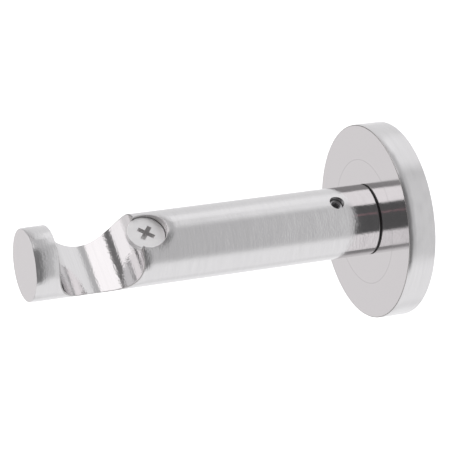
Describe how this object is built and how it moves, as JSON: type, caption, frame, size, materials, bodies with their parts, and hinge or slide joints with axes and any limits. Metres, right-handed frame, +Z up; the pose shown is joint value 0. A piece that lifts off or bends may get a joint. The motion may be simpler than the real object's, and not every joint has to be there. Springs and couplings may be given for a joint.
{
  "type": "curtain pole bracket",
  "caption": "Wall bracket for a curtain pole: a round bar arm with a cut saddle and a flat retaining screw, set-screwed onto a turned disc rose.",
  "frame": {"origin": "centre of the rose's back, on the wall's plane", "axes": "+Y into the wall, so the arm projects along -Y; +Z up, the way the saddle opens; X along the pole"},
  "size_m": [0.055, 0.1088, 0.055],
  "materials": {
    "arm_steel": "satin, brushed round the bar, polished in the saddle",
    "rose_steel": "turned and polished face, brushed rim",
    "plate_steel": "plain turned steel",
    "screw_steel": "matt plated steel",
    "set_screw_steel": "dark plated steel"
  },
  "bodies": {
    "root": {"arm": "arm_steel", "rose": "rose_steel", "wall_plate": "plate_steel", "spigot": "plate_steel", "pole_screw": "screw_steel", "set_screw": "set_screw_steel"}
  },
  "joints": []
}
